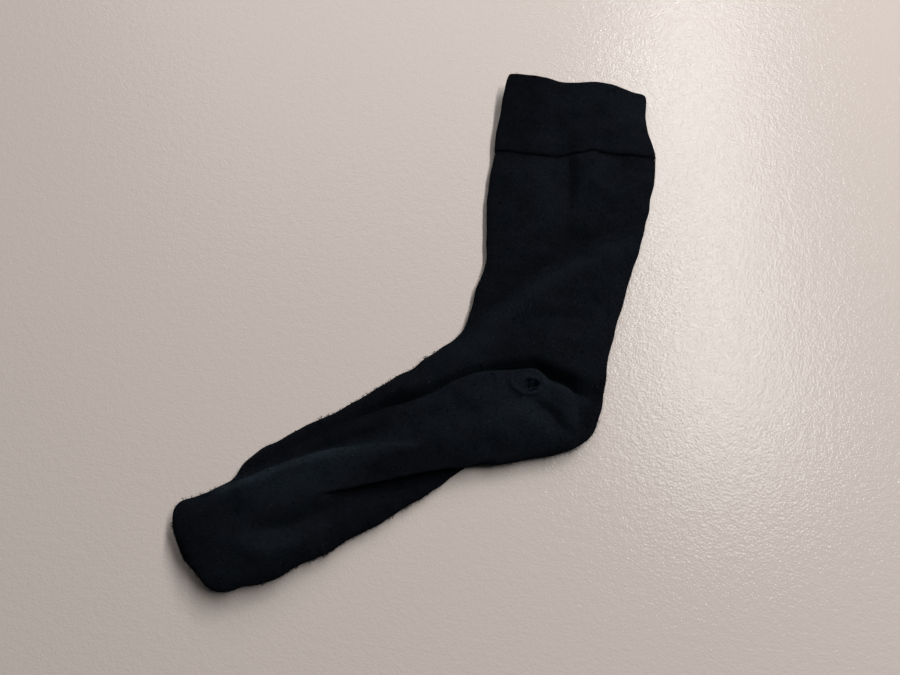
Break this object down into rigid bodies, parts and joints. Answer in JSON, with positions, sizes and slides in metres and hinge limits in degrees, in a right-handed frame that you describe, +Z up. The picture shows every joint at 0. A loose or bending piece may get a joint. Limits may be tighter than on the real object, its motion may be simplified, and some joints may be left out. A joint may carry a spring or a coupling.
{
  "type": "sock",
  "caption": "Worn crew sock lying flat on its side: knitted tube with a turned welt, pocketed heel, twisted foot, rounded toe and a hole worn through the heel.",
  "frame": {"origin": "centre of the bounding box's base, on the surface that the sock lies on", "axes": "+Z up from the surface, +Y along the leg towards the open mouth, -X towards the toe"},
  "size_m": [0.2334, 0.321, 0.0221],
  "materials": {
    "welt_knit": "fine plain knit turned double, black with a faint blue cast, matte, a little lint",
    "brushed_knit": "black brushed knit, matte and fuzzy, pilled, with pale lint and worn spots at heel and toe"
  },
  "bodies": {
    "root": {"cuff_welt": "welt_knit", "leg_and_foot": "brushed_knit"}
  },
  "joints": []
}
